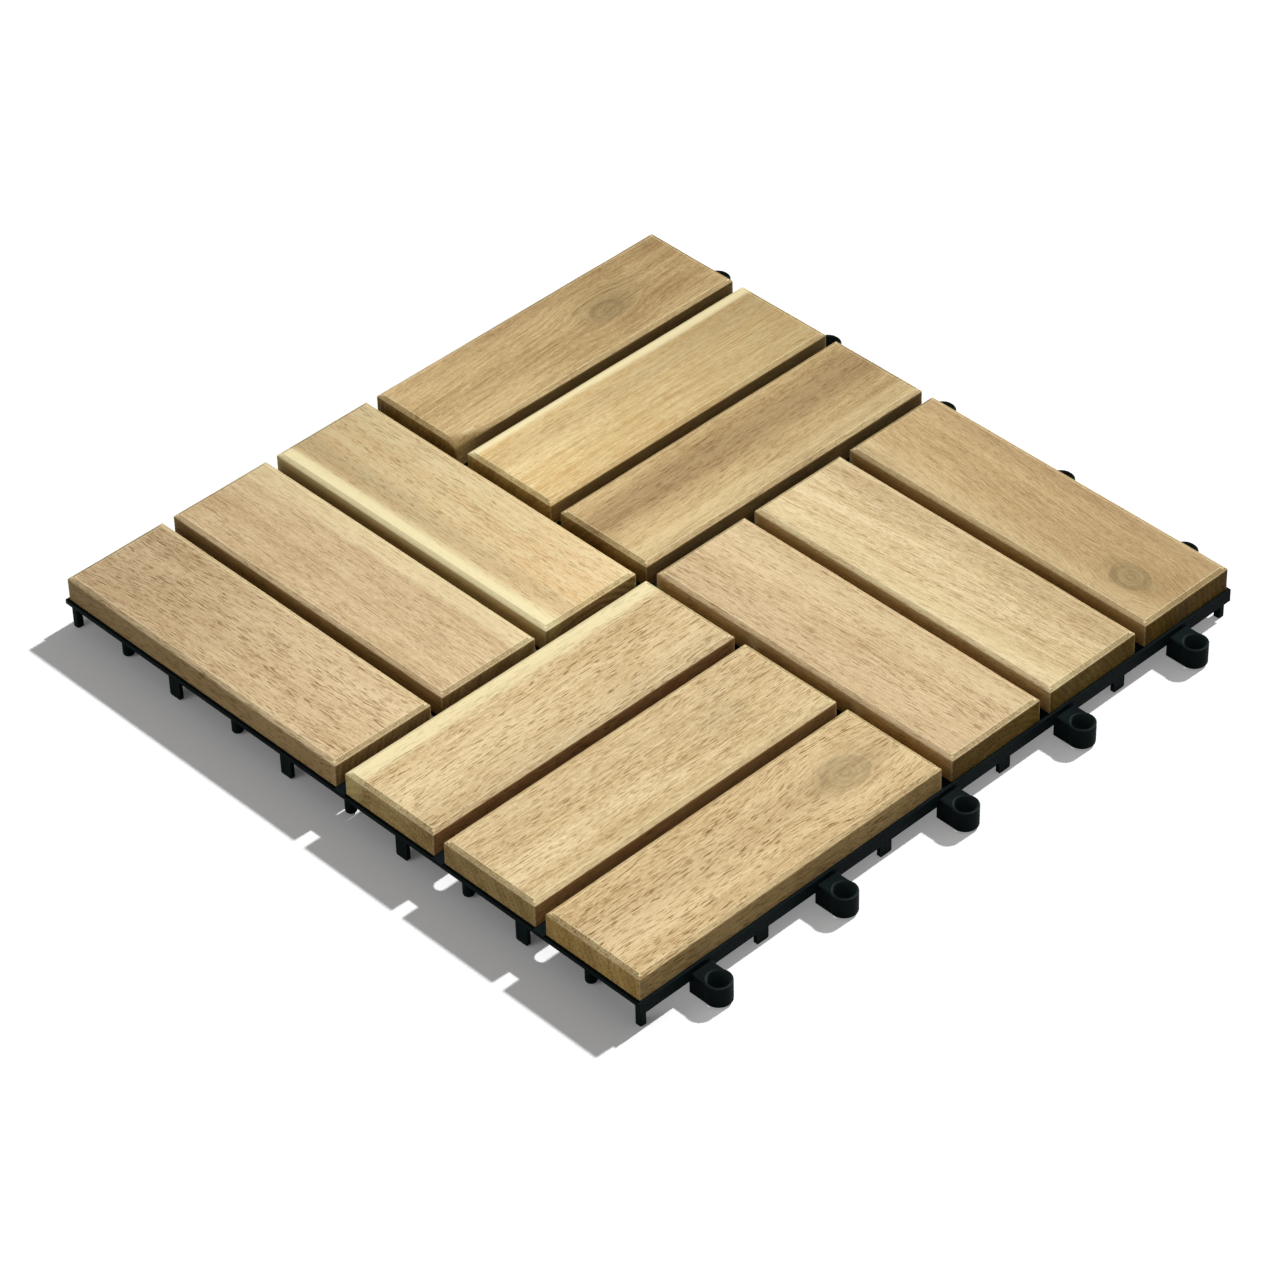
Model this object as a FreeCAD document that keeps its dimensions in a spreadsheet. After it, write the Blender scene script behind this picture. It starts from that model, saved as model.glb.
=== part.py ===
"""Interlocking deck tile: twelve timber slats in a four-square basket weave, each held from below by two
screws on one moulded plastic base grid with loops on two sides and pegs on the other two. Millimetres."""
import FreeCAD, Part
import math
import os

import Sketcher

# Frame: origin on the ground at the tile's centre, under the middle foot. +Z is up.
# The loops stand out of the +X and +Y sides, and the pegs hang under the -X and -Y sides.

DRIVING_SIZES = [
    ("slat_width", 45.0, "width of one slat"),
    ("slat_gap", 5.0, "gap between slats, between squares and between two joined tiles"),
    ("slats_per_square", 3, "slats side by side in each quarter of the tile"),
    ("slat_thickness", 10.5, "thickness of a slat"),
    ("slat_bevel_width", 2.0, "bevel round the top of a slat, measured across the top"),
    ("slat_bevel_drop", 0.9, "the same bevel, measured down from the top"),
    ("base_lip", 1.0, "how far the base shows outside the slats, on each side"),
    ("base_height", 12.0, "ground to the underside of the slats"),
    ("plate_thickness", 1.8, "top plate of the base"),
    ("rim_wall", 1.2, "wall of the rim on the loop sides"),
    ("rim_depth", 5.3, "depth of that rim, from the top of the plate"),
    ("rib_thickness", 1.6, "ribs under the plate"),
    ("rib_depth", 5.2, "depth of the ribs and screw bosses below the plate"),
    ("rib_edge_margin", 12.0, "edge of the base to the ends of the ribs"),
    ("spine_offset", 6.0, "middle of the tile to each of the two ribs beside its centre line"),
    ("foot_diameter", 8.0, "round feet under the rib crossings"),
    ("middle_foot_diameter", 14.0, "round foot under the tile's centre"),
    ("foot_chamfer", 0.5, "bevel round the foot of a foot"),
    ("tab_width", 5.6, "flat feet along the edges"),
    ("tab_thickness", 1.6, "thickness of those flat feet"),
    ("tab_corner_radius", 0.7, "rounding of their lower corners"),
    ("corner_foot_side", 3.0, "square feet at the four corners"),
    ("corner_foot_radius", 0.8, "rounding of their upright edges"),
    ("slot_edge_margin", 8.5, "edge of the base to the first drain slot"),
    ("slot_bridge", 6.0, "plate left between two drain slots in a line, over a rib"),
    ("joint_count", 5, "loops or pegs along a side"),
    ("joint_reach", 6.3, "centre of a loop, outside the line on which two tiles meet"),
    ("loop_bore", 8.2, "hole of a loop"),
    ("loop_wall", 1.0, "wall of a loop"),
    ("loop_arm_width", 9.4, "arm that carries a loop"),
    ("loop_edge_chamfer", 0.4, "bevel of the edges of a loop"),
    ("loop_plate_clearance", 0.6, "top of a loop to the underside of the next tile's plate"),
    ("loop_ground_clearance", 0.5, "ground to the underside of a loop"),
    ("peg_diameter", 4.4, "straight part of a peg"),
    ("peg_root_diameter", 5.0, "peg where it leaves the plate"),
    ("peg_root_height", 2.5, "height of the flared root"),
    ("peg_tip_radius", 0.9, "rounding of the tip"),
    ("peg_ground_clearance", 0.3, "ground to the tip of a peg"),
    ("screw_diameter", 3.5, "wood screw, over its shank"),
    ("screw_length", 12.0, "under the head to the point"),
    ("screw_point", 2.5, "length of the tapered point"),
    ("screw_head_diameter", 6.5, "pan head"),
    ("screw_head_height", 2.2, "pan head"),
    ("screw_head_chamfer", 0.6, "bevel round the head"),
    ("screw_recess_span", 3.4, "cross recess, end to end"),
    ("screw_recess_width", 0.8, "cross recess, each arm"),
    ("screw_recess_depth", 1.2, "cross recess"),
    ("screw_end_distance", 12.5, "end of a slat to its screw"),
    ("screw_boss_diameter", 9.0, "boss round a screw under the plate"),
    ("screw_head_clearance", 0.3, "all round a screw's head in its boss"),
    ("screw_head_sink", 0.6, "lower face of the boss to the screw's head"),
    ("screw_hole_clearance", 0.2, "all round a screw's shank in the plate"),
    ("pilot_clearance", 0.05, "all round a screw's shank in the slat"),
    ("pilot_end_clearance", 0.4, "point of a screw to the end of its hole"),
]

document = FreeCAD.newDocument("deck_tile")
sheet = document.addObject("Spreadsheet::Sheet", "sizes")
for row, (alias, number, meaning) in enumerate(DRIVING_SIZES, start=1):
    sheet.set(f"A{row}", meaning)
    sheet.set(f"B{row}", str(number))
    sheet.setAlias(f"B{row}", alias)
document.recompute()


class Size:
    """A number together with the formula on the sheet that gives it."""

    def __init__(self, number, formula):
        self.number = number
        self.formula = formula

    def __add__(self, other):
        other = as_size(other)
        return Size(self.number + other.number, f"({self.formula} + {other.formula})")

    def __sub__(self, other):
        other = as_size(other)
        return Size(self.number - other.number, f"({self.formula} - {other.formula})")

    def __mul__(self, other):
        other = as_size(other)
        return Size(self.number * other.number, f"{self.formula} * {other.formula}")

    def __truediv__(self, other):
        other = as_size(other)
        return Size(self.number / other.number, f"{self.formula} / ({other.formula})")

    def __neg__(self):
        return Size(-self.number, f"(0 - {self.formula})")


def as_size(value):
    return value if isinstance(value, Size) else Size(value, str(value))


def driving(alias):
    """The driving size in the sheet's cell of that name."""
    return Size(float(sheet.get(alias)), f"sizes.{alias}")


slat_width = driving("slat_width")
slat_gap = driving("slat_gap")
slats_per_square = driving("slats_per_square")
slat_thickness = driving("slat_thickness")
base_height = driving("base_height")
plate_thickness = driving("plate_thickness")
rim_wall = driving("rim_wall")
rib_thickness = driving("rib_thickness")
tab_thickness = driving("tab_thickness")
joint_count = driving("joint_count")
joint_reach = driving("joint_reach")
screw_head_height = driving("screw_head_height")
screw_end_distance = driving("screw_end_distance")

# Plan sizes that follow from the slats
slat_pitch = slat_width + slat_gap
slat_length = slats_per_square * slat_pitch - slat_gap
tile_pitch = (slat_length + slat_gap) * 2
base_half = slat_length + slat_gap / 2 + driving("base_lip")
meeting_line = tile_pitch / 2
joint_pitch = tile_pitch / joint_count
rib_pitch = joint_pitch / 2
first_joint = joint_pitch * (joint_count - 1) / 2
loop_centre = meeting_line + joint_reach
peg_centre = meeting_line - joint_reach
slat_centre_across = (slat_width + slat_gap) / 2
slat_centre_along = (slat_length + slat_gap) / 2
rim_inside = base_half - rim_wall
rib_end = base_half - driving("rib_edge_margin")

# Levels above the ground
plate_underside = base_height - plate_thickness
rib_bottom = plate_underside - driving("rib_depth")
loop_top = plate_underside - driving("loop_plate_clearance")
loop_bottom = driving("loop_ground_clearance")
head_bottom = rib_bottom + driving("screw_head_sink")
head_top = head_bottom + screw_head_height
screw_point_level = head_top + driving("screw_length")


def bind(feature, path, size):
    """Ties one property of a feature, or one of its parts, to a size."""
    feature.setExpression(path, as_size(size).formula)


def new_body(name, one_solid=True):
    body = document.addObject("PartDesign::Body", name)
    body.Label = name
    body.AllowCompound = not one_solid
    return body


def origin_feature(body, role):
    return next(feature for feature in body.Origin.OriginFeatures if feature.Role == role)


def sketch_on(body, name, role, offset=(0, 0, 0)):
    """A sketch on one of the body's own origin planes, moved by a size along each of the plane's axes."""
    sketch = body.newObject("Sketcher::SketchObject", name)
    sketch.AttachmentSupport = (origin_feature(body, role), [""])
    sketch.MapMode = "FlatFace"
    for axis, size in zip("xyz", offset):
        if isinstance(size, Size):
            bind(sketch, f"AttachmentOffset.Base.{axis}", size)
    return sketch


def constrain(sketch, kind, *what, size):
    """A dimension of the sketch, named after its number and tied to a size."""
    index = sketch.addConstraint(Sketcher.Constraint(kind, *what, as_size(size).number))
    sketch.renameConstraint(index, f"{kind}_{index}")
    bind(sketch, f"Constraints.{kind}_{index}", size)


ORIGIN_POINT = (-1, 1)
START, END, CENTRE = 1, 2, 3


def place(sketch, curve, point, x, y):
    """Fixes a point of a curve at x, y from the sketch's origin."""
    constrain(sketch, "DistanceX", *ORIGIN_POINT, curve, point, size=x)
    constrain(sketch, "DistanceY", *ORIGIN_POINT, curve, point, size=y)


def arc_between(start, end, radius):
    """The short arc that bulges to the right of the way from start to end, on an outline drawn anticlockwise."""
    chord = end - start
    to_centre = math.sqrt(max(radius ** 2 - (chord.Length / 2) ** 2, 0.0))
    left = FreeCAD.Vector(-chord.y, chord.x, 0).normalize()
    centre = start + chord / 2 + left * to_centre
    angles = [math.atan2(point.y - centre.y, point.x - centre.x) for point in (start, end)]
    circle = Part.Circle(centre, FreeCAD.Vector(0, 0, 1), radius)
    return Part.ArcOfCircle(circle, *angles)


def outline(sketch, corners):
    """A closed outline, anticlockwise. A corner is x, y and, where the next edge is an arc, its radius."""
    points = [FreeCAD.Vector(as_size(x).number, as_size(y).number, 0) for x, y, *_ in corners]
    following = points[1:] + points[:1]
    for corner, start, end in zip(corners, points, following):
        if len(corner) > 2:
            sketch.addGeometry(arc_between(start, end, corner[2].number), False)
        else:
            sketch.addGeometry(Part.LineSegment(start, end), False)
    for curve, corner in enumerate(corners):
        next_curve = (curve + 1) % len(corners)
        sketch.addConstraint(Sketcher.Constraint("Coincident", curve, END, next_curve, START))
        place(sketch, curve, START, corner[0], corner[1])
        if len(corner) > 2:
            constrain(sketch, "Radius", curve, size=corner[2])


def rectangle(sketch, left, bottom, right, top):
    outline(sketch, [(left, bottom), (right, bottom), (right, top), (left, top)])


def round_hole(sketch, x, y, diameter):
    circle = Part.Circle(
        FreeCAD.Vector(as_size(x).number, as_size(y).number, 0), FreeCAD.Vector(0, 0, 1), diameter.number / 2
    )
    curve = sketch.addGeometry(circle, False)
    place(sketch, curve, CENTRE, x, y)
    constrain(sketch, "Diameter", curve, size=diameter)


def round_ended_slot(sketch, x, low, high, width):
    """A slot along Y with full round ends, between two Y positions of its tips."""
    x = as_size(x)
    radius = width / 2
    right, left = (x + radius).number, (x - radius).number
    low_centre, high_centre = low + radius, high - radius
    up = FreeCAD.Vector(0, 0, 1)
    ends = [
        Part.Circle(FreeCAD.Vector(x.number, centre.number, 0), up, radius.number)
        for centre in (high_centre, low_centre)
    ]
    right_side = Part.LineSegment(
        FreeCAD.Vector(right, low_centre.number, 0), FreeCAD.Vector(right, high_centre.number, 0)
    )
    left_side = Part.LineSegment(
        FreeCAD.Vector(left, high_centre.number, 0), FreeCAD.Vector(left, low_centre.number, 0)
    )
    sketch.addGeometry(right_side, False)
    sketch.addGeometry(Part.ArcOfCircle(ends[0], 0, math.pi), False)
    sketch.addGeometry(left_side, False)
    sketch.addGeometry(Part.ArcOfCircle(ends[1], math.pi, 2 * math.pi), False)
    for curve in range(4):
        sketch.addConstraint(Sketcher.Constraint("Tangent", curve, END, (curve + 1) % 4, START))
    place(sketch, 1, CENTRE, x, high_centre)
    place(sketch, 3, CENTRE, x, low_centre)
    constrain(sketch, "Radius", 1, size=radius)
    sketch.addConstraint(Sketcher.Constraint("Equal", 1, 3))


def pad(body, sketch, length, name):
    feature = body.newObject("PartDesign::Pad", name)
    feature.Profile = sketch
    feature.Refine = False
    bind(feature, "Length", length)
    return feature


def pocket(body, sketch, depth, name):
    """A cut from the sketch upwards."""
    feature = body.newObject("PartDesign::Pocket", name)
    feature.Profile = sketch
    feature.Refine = False
    feature.Reversed = True
    bind(feature, "Length", depth)
    return feature


def turn(body, kind, name, x, y, profile):
    """A full turn of a profile of radius and level about an upright axis at x, y."""
    sketch = sketch_on(body, f"{name}_profile", "XZ_Plane", (x, 0, -y))
    outline(sketch, profile)
    feature = body.newObject(f"PartDesign::{kind}", name)
    feature.Profile = sketch
    feature.Refine = False
    feature.ReferenceAxis = (sketch, ["V_Axis"])
    feature.Angle = 360
    return feature


def row(role, pitch, count):
    """A step of a pattern: copies in a line along one of the body's axes."""
    return {"kind": "LinearPattern", "role": role, "Offset": pitch, "Occurrences": count}


def round_the_centre(count, angle=360):
    """A step of a pattern: copies turned about the tile's upright axis, the last one at the angle if it isn't 360."""
    return {"kind": "PolarPattern", "role": "Z_Axis", "Angle": angle, "Occurrences": count}


def repeat(body, features, name, *steps):
    """Repeats features by each step in turn."""
    pattern = body.newObject("PartDesign::MultiTransform", name)
    pattern.Originals = features
    pattern.Refine = False
    transformations = []
    for number, step in enumerate(steps):
        part = body.newObject(f"PartDesign::{step['kind']}", f"{name}_{number}")
        axis = (origin_feature(body, step["role"]), [""])
        if step["kind"] == "LinearPattern":
            part.Direction = axis
            part.Mode = "Spacing"
            bind(part, "Offset", step["Offset"])
        else:
            part.Axis = axis
            part.Angle = step["Angle"]
        bind(part, "Occurrences", step["Occurrences"])
        transformations.append(part)
    pattern.Transformations = transformations
    body.Tip = pattern
    document.recompute()
    return pattern


QUARTER_TURNS = 4
# The first screw of the square at +X, -Y, by the tile's edge, and the way to the others of that square
first_screw = (slat_centre_across, screw_end_distance - slat_gap / 2 - slat_length)
screw_steps = [
    row("X_Axis", slat_pitch, slats_per_square),
    row("Y_Axis", slat_length - screw_end_distance * 2, 2),
    round_the_centre(QUARTER_TURNS),
]


def drain_slots(body):
    """Slots as wide as the gaps between the slats, under those gaps, broken over the ribs."""
    half_bridge = driving("slot_bridge") / 2
    outermost_rib = rib_pitch * (joint_count - 1)
    across_gaps = row("X_Axis", slat_pitch, slats_per_square)

    def slot(name, x, low, high):
        sketch = sketch_on(body, f"{name}_outline", "XY_Plane", (0, 0, plate_underside))
        round_ended_slot(sketch, x, low, high, slat_gap)
        return pocket(body, sketch, plate_thickness, name)

    edge_tip = -(base_half - driving("slot_edge_margin"))
    edge_slot = slot("edge_slot", 0, edge_tip, -(outermost_rib + half_bridge))
    repeat(body, [edge_slot], "edge_slots", across_gaps, round_the_centre(QUARTER_TURNS))

    low, high = -(outermost_rib - half_bridge), -(outermost_rib - rib_pitch + half_bridge)
    field_slot = slot("field_slot", 0, low, high)
    between_ribs = row("Y_Axis", rib_pitch, joint_count - 2)
    repeat(body, [field_slot], "field_slots", across_gaps, between_ribs, round_the_centre(QUARTER_TURNS))

    inner_slot = slot("inner_slot", slat_pitch, -(rib_pitch - half_bridge), -half_bridge)
    inner_gaps = row("X_Axis", slat_pitch, slats_per_square - 1)
    repeat(body, [inner_slot], "inner_slots", inner_gaps, round_the_centre(QUARTER_TURNS))


def base_plate():
    body = new_body("base_plate")
    sketch = sketch_on(body, "plate_outline", "XY_Plane", (0, 0, plate_underside))
    rectangle(sketch, -base_half, -base_half, base_half, base_half)
    pad(body, sketch, plate_thickness, "plate")
    drain_slots(body)
    return body


def base_rim():
    """The deep rim along the two loop sides."""
    body = new_body("base_rim")
    depth = driving("rim_depth")
    sketch = sketch_on(body, "rim_outline", "XY_Plane", (0, 0, base_height - depth))
    corners = [
        (base_half, -base_half),
        (base_half, base_half),
        (-base_half, base_half),
        (-base_half, rim_inside),
        (rim_inside, rim_inside),
        (rim_inside, -base_half),
    ]
    outline(sketch, corners)
    pad(body, sketch, depth, "rim")
    return body


def base_rib(body, name, line):
    """One rib along X, at a Y position, repeated in the caller's pattern."""
    sketch = sketch_on(body, f"{name}_outline", "XY_Plane", (0, 0, rib_bottom))
    rectangle(sketch, -rib_end, line - rib_thickness / 2, rib_end, line + rib_thickness / 2)
    return pad(body, sketch, plate_underside - rib_bottom, name)


def base_ribs():
    body = new_body("base_ribs")
    grid_rib = base_rib(body, "grid_rib", rib_pitch)
    steps = [row("Y_Axis", rib_pitch, joint_count - 1), round_the_centre(QUARTER_TURNS)]
    repeat(body, [grid_rib], "grid_ribs", *steps)
    spine_rib = base_rib(body, "spine_rib", driving("spine_offset"))
    repeat(body, [spine_rib], "spine_ribs", round_the_centre(QUARTER_TURNS))
    return body


def round_foot(body, name, x, y, diameter):
    radius = diameter / 2
    chamfer = driving("foot_chamfer")
    profile = [
        (0, 0),
        (radius - chamfer, 0),
        (radius, chamfer),
        (radius, plate_underside),
        (0, plate_underside),
    ]
    return turn(body, "Revolution", name, x, y, profile)


def base_feet():
    """Round feet at every other rib crossing, flat feet between the joints and a square foot at each corner."""
    body = new_body("base_feet", one_solid=False)
    feet_per_quarter_side = (joint_count - 1) / 2
    foot = round_foot(body, "foot", rib_pitch, rib_pitch, driving("foot_diameter"))
    along_x = row("X_Axis", joint_pitch, feet_per_quarter_side)
    along_y = row("Y_Axis", joint_pitch, feet_per_quarter_side)
    repeat(body, [foot], "feet", along_x, along_y, round_the_centre(QUARTER_TURNS))
    round_foot(body, "middle_foot", 0, 0, driving("middle_foot_diameter"))

    tab_half = driving("tab_width") / 2
    radius = driving("tab_corner_radius")
    first_tab = -(first_joint - rib_pitch)
    sketch = sketch_on(body, "tab_outline", "YZ_Plane", (0, 0, rim_inside - tab_thickness))
    corners = [
        (first_tab - tab_half, radius, radius),
        (first_tab - tab_half + radius, 0),
        (first_tab + tab_half - radius, 0, radius),
        (first_tab + tab_half, radius),
        (first_tab + tab_half, plate_underside),
        (first_tab - tab_half, plate_underside),
    ]
    outline(sketch, corners)
    tab = pad(body, sketch, tab_thickness, "tab")
    repeat(body, [tab], "tabs", row("Y_Axis", joint_pitch, joint_count - 1), round_the_centre(QUARTER_TURNS))

    radius = driving("corner_foot_radius")
    near = rim_inside - driving("corner_foot_side")
    far = rim_inside
    sketch = sketch_on(body, "corner_foot_outline", "XY_Plane")
    corners = [
        (near + radius, near),
        (far - radius, near, radius),
        (far, near + radius),
        (far, far - radius, radius),
        (far - radius, far),
        (near + radius, far, radius),
        (near, far - radius),
        (near, near + radius, radius),
    ]
    outline(sketch, corners)
    corner_foot = pad(body, sketch, plate_underside, "corner_foot")
    repeat(body, [corner_foot], "corner_feet", round_the_centre(QUARTER_TURNS))
    return body


def base_loops():
    """The first loop of the +X side with its arm, then the others along +X and along +Y."""
    body = new_body("base_loops", one_solid=False)
    arm_half = driving("loop_arm_width") / 2
    chamfer = driving("loop_edge_chamfer")
    radius = driving("loop_bore") / 2
    outer = radius + driving("loop_wall")
    sketch = sketch_on(body, "arm_section", "YZ_Plane", (0, 0, rim_inside))
    corners = [
        (-first_joint - arm_half, loop_bottom),
        (-first_joint + arm_half, loop_bottom),
        (-first_joint + arm_half, loop_top - chamfer),
        (-first_joint + arm_half - chamfer, loop_top),
        (-first_joint - arm_half + chamfer, loop_top),
        (-first_joint - arm_half, loop_top - chamfer),
    ]
    outline(sketch, corners)
    arm = pad(body, sketch, loop_centre - rim_inside, "loop_arm")
    ring_profile = [
        (0, loop_bottom),
        (outer - chamfer, loop_bottom),
        (outer, loop_bottom + chamfer),
        (outer, loop_top - chamfer),
        (outer - chamfer, loop_top),
        (0, loop_top),
    ]
    ring = turn(body, "Revolution", "loop_ring", loop_centre, -first_joint, ring_profile)
    bore_profile = [
        (0, loop_bottom),
        (radius, loop_bottom),
        (radius, loop_top - chamfer),
        (radius + chamfer, loop_top),
        (0, loop_top),
    ]
    bore = turn(body, "Groove", "loop_bore", loop_centre, -first_joint, bore_profile)
    steps = [row("Y_Axis", joint_pitch, joint_count), round_the_centre(2, angle=90)]
    repeat(body, [arm, ring, bore], "loops", *steps)
    return body


def base_pegs():
    """The first peg of the -X side, then the others along -X and along -Y."""
    body = new_body("base_pegs", one_solid=False)
    radius = driving("peg_diameter") / 2
    tip = driving("peg_tip_radius")
    bottom = driving("peg_ground_clearance")
    profile = [
        (0, bottom),
        (radius - tip, bottom, tip),
        (radius, bottom + tip),
        (radius, plate_underside - driving("peg_root_height")),
        (driving("peg_root_diameter") / 2, plate_underside),
        (0, plate_underside),
    ]
    peg = turn(body, "Revolution", "peg", -peg_centre, -first_joint, profile)
    steps = [row("Y_Axis", joint_pitch, joint_count), round_the_centre(2, angle=90)]
    repeat(body, [peg], "pegs", *steps)
    return body


def base_screw_bosses():
    body = new_body("base_screw_bosses", one_solid=False)
    sketch = sketch_on(body, "boss_outline", "XY_Plane", (0, 0, rib_bottom))
    round_hole(sketch, *first_screw, driving("screw_boss_diameter"))
    boss = pad(body, sketch, plate_underside - rib_bottom, "screw_boss")
    repeat(body, [boss], "screw_bosses", *screw_steps)
    return body


def screw_holes():
    """The space that each screw takes from below: a wide part for its head and a narrow one for its shank."""
    body = new_body("screw_holes", one_solid=False)
    head = driving("screw_head_diameter") / 2 + driving("screw_head_clearance")
    shank = driving("screw_diameter") / 2 + driving("screw_hole_clearance")
    profile = [
        (0, rib_bottom),
        (head, rib_bottom),
        (head, head_top),
        (shank, head_top),
        (shank, base_height),
        (0, base_height),
    ]
    hole = turn(body, "Revolution", "screw_hole", *first_screw, profile)
    repeat(body, [hole], "screw_hole_rows", *screw_steps)
    return body


def base_grid():
    """The whole moulding, joined from its plate, rim, ribs, feet, bosses, loops and pegs, less the screw holes."""
    solid = document.addObject("Part::MultiFuse", "base_without_holes")
    solid.Shapes = [
        base_plate(),
        base_rim(),
        base_ribs(),
        base_feet(),
        base_screw_bosses(),
        base_loops(),
        base_pegs(),
    ]
    grid = document.addObject("Part::Cut", "base_grid")
    grid.Base = solid
    grid.Tool = screw_holes()
    grid.Refine = True
    document.recompute()
    return grid


def slat(name, quarter, number):
    """One slat of a square, lying along Y before its quarter turn. Its own origin is under its middle."""
    body = new_body(name)
    half_width, half_length = slat_width / 2, slat_length / 2
    sketch = sketch_on(body, f"{name}_outline", "XY_Plane")
    rectangle(sketch, -half_width, -half_length, half_width, half_length)
    board = pad(body, sketch, slat_thickness, f"{name}_board")
    document.recompute()

    top = max(range(len(board.Shape.Faces)), key=lambda index: board.Shape.Faces[index].CenterOfMass.z)
    bevel = body.newObject("PartDesign::Chamfer", f"{name}_bevel")
    bevel.Base = (board, [f"Face{top + 1}"])
    bevel.ChamferType = "Two distances"
    bevel.FlipDirection = True
    bind(bevel, "Size", driving("slat_bevel_width"))
    bind(bevel, "Size2", driving("slat_bevel_drop"))

    sketch = sketch_on(body, f"{name}_pilot_outline", "XY_Plane")
    pilot_diameter = driving("screw_diameter") + driving("pilot_clearance") * 2
    for end in (-1, 1):
        round_hole(sketch, 0, (half_length - screw_end_distance) * end, pilot_diameter)
    pilot_depth = screw_point_level - base_height + driving("pilot_end_clearance")
    pocket(body, sketch, pilot_depth, f"{name}_pilot_holes")

    across = slat_centre_across + slat_pitch * number
    along = slat_centre_along
    x, y = [(across, -along), (along, across), (-across, along), (-along, -across)][quarter]
    body.Placement.Rotation = FreeCAD.Rotation(FreeCAD.Vector(0, 0, 1), 90 * quarter)
    bind(body, "Placement.Base.x", x)
    bind(body, "Placement.Base.y", y)
    bind(body, "Placement.Base.z", base_height)
    return body


def slats():
    """Three slats in each square, and each square turned a quarter from the one before it."""
    squares = ["front_right", "back_right", "back_left", "front_left"]
    places = ["inner", "middle", "outer"]
    return [
        slat(f"slat_{square}_{place}", quarter, number)
        for quarter, square in enumerate(squares)
        for number, place in enumerate(places)
    ]


def slat_screws():
    """Every pan-head wood screw, point up, two to a slat."""
    body = new_body("slat_screws", one_solid=False)
    radius = driving("screw_diameter") / 2
    head_radius = driving("screw_head_diameter") / 2
    chamfer = driving("screw_head_chamfer")
    profile = [
        (0, head_bottom),
        (head_radius - chamfer, head_bottom),
        (head_radius, head_bottom + chamfer),
        (head_radius, head_top),
        (radius, head_top),
        (radius, screw_point_level - driving("screw_point")),
        (0, screw_point_level),
    ]
    screw = turn(body, "Revolution", "screw", *first_screw, profile)
    sketch = sketch_on(body, "recess_outline", "XY_Plane", (*first_screw, head_bottom))
    span = driving("screw_recess_span") / 2
    arm = driving("screw_recess_width") / 2
    corners = [
        (span, -arm), (span, arm), (arm, arm), (arm, span), (-arm, span), (-arm, arm),
        (-span, arm), (-span, -arm), (-arm, -arm), (-arm, -span), (arm, -span), (arm, -arm),
    ]
    outline(sketch, corners)
    recess = pocket(body, sketch, driving("screw_recess_depth"), "recess")
    repeat(body, [screw, recess], "screws", *screw_steps)
    return body


def check(pieces):
    """Stops if a feature failed or a piece has no valid shape."""
    document.recompute()
    for feature in document.Objects:
        if "Invalid" in feature.State or "Error" in feature.State:
            raise RuntimeError(f"{feature.Label} failed: {feature.State}")
    for piece in pieces:
        if piece.Shape.isNull() or not piece.Shape.isValid():
            raise RuntimeError(f"{piece.Label} has no valid shape")


pieces = [base_grid(), *slats(), slat_screws()]
check(pieces)
os.makedirs("parts", exist_ok=True)
for piece in pieces:
    piece.Shape.exportStep(f"parts/{piece.Label}.step")
    print(piece.Label, "solids", len(piece.Shape.Solids), "volume", round(piece.Shape.Volume, 1))
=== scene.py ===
"""Looks of the interlocking deck tile: oiled timber slats on a black plastic base grid, on a pale floor."""
import math

import bpy
from mathutils import Matrix, Vector


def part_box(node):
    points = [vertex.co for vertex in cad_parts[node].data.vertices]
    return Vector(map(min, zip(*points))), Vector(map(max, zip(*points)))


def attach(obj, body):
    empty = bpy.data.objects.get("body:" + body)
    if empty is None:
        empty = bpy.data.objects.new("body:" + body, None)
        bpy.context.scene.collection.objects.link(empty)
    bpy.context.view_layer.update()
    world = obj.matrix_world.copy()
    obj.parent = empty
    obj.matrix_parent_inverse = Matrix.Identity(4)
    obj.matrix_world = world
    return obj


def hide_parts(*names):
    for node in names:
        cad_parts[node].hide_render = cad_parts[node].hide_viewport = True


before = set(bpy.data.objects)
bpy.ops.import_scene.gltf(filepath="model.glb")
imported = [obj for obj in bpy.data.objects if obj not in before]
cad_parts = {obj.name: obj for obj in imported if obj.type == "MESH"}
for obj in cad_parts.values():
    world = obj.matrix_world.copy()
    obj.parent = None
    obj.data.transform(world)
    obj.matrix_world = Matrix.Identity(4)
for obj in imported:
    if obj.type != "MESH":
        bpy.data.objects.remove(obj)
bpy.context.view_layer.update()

MM = 0.001

# Node helpers


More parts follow.
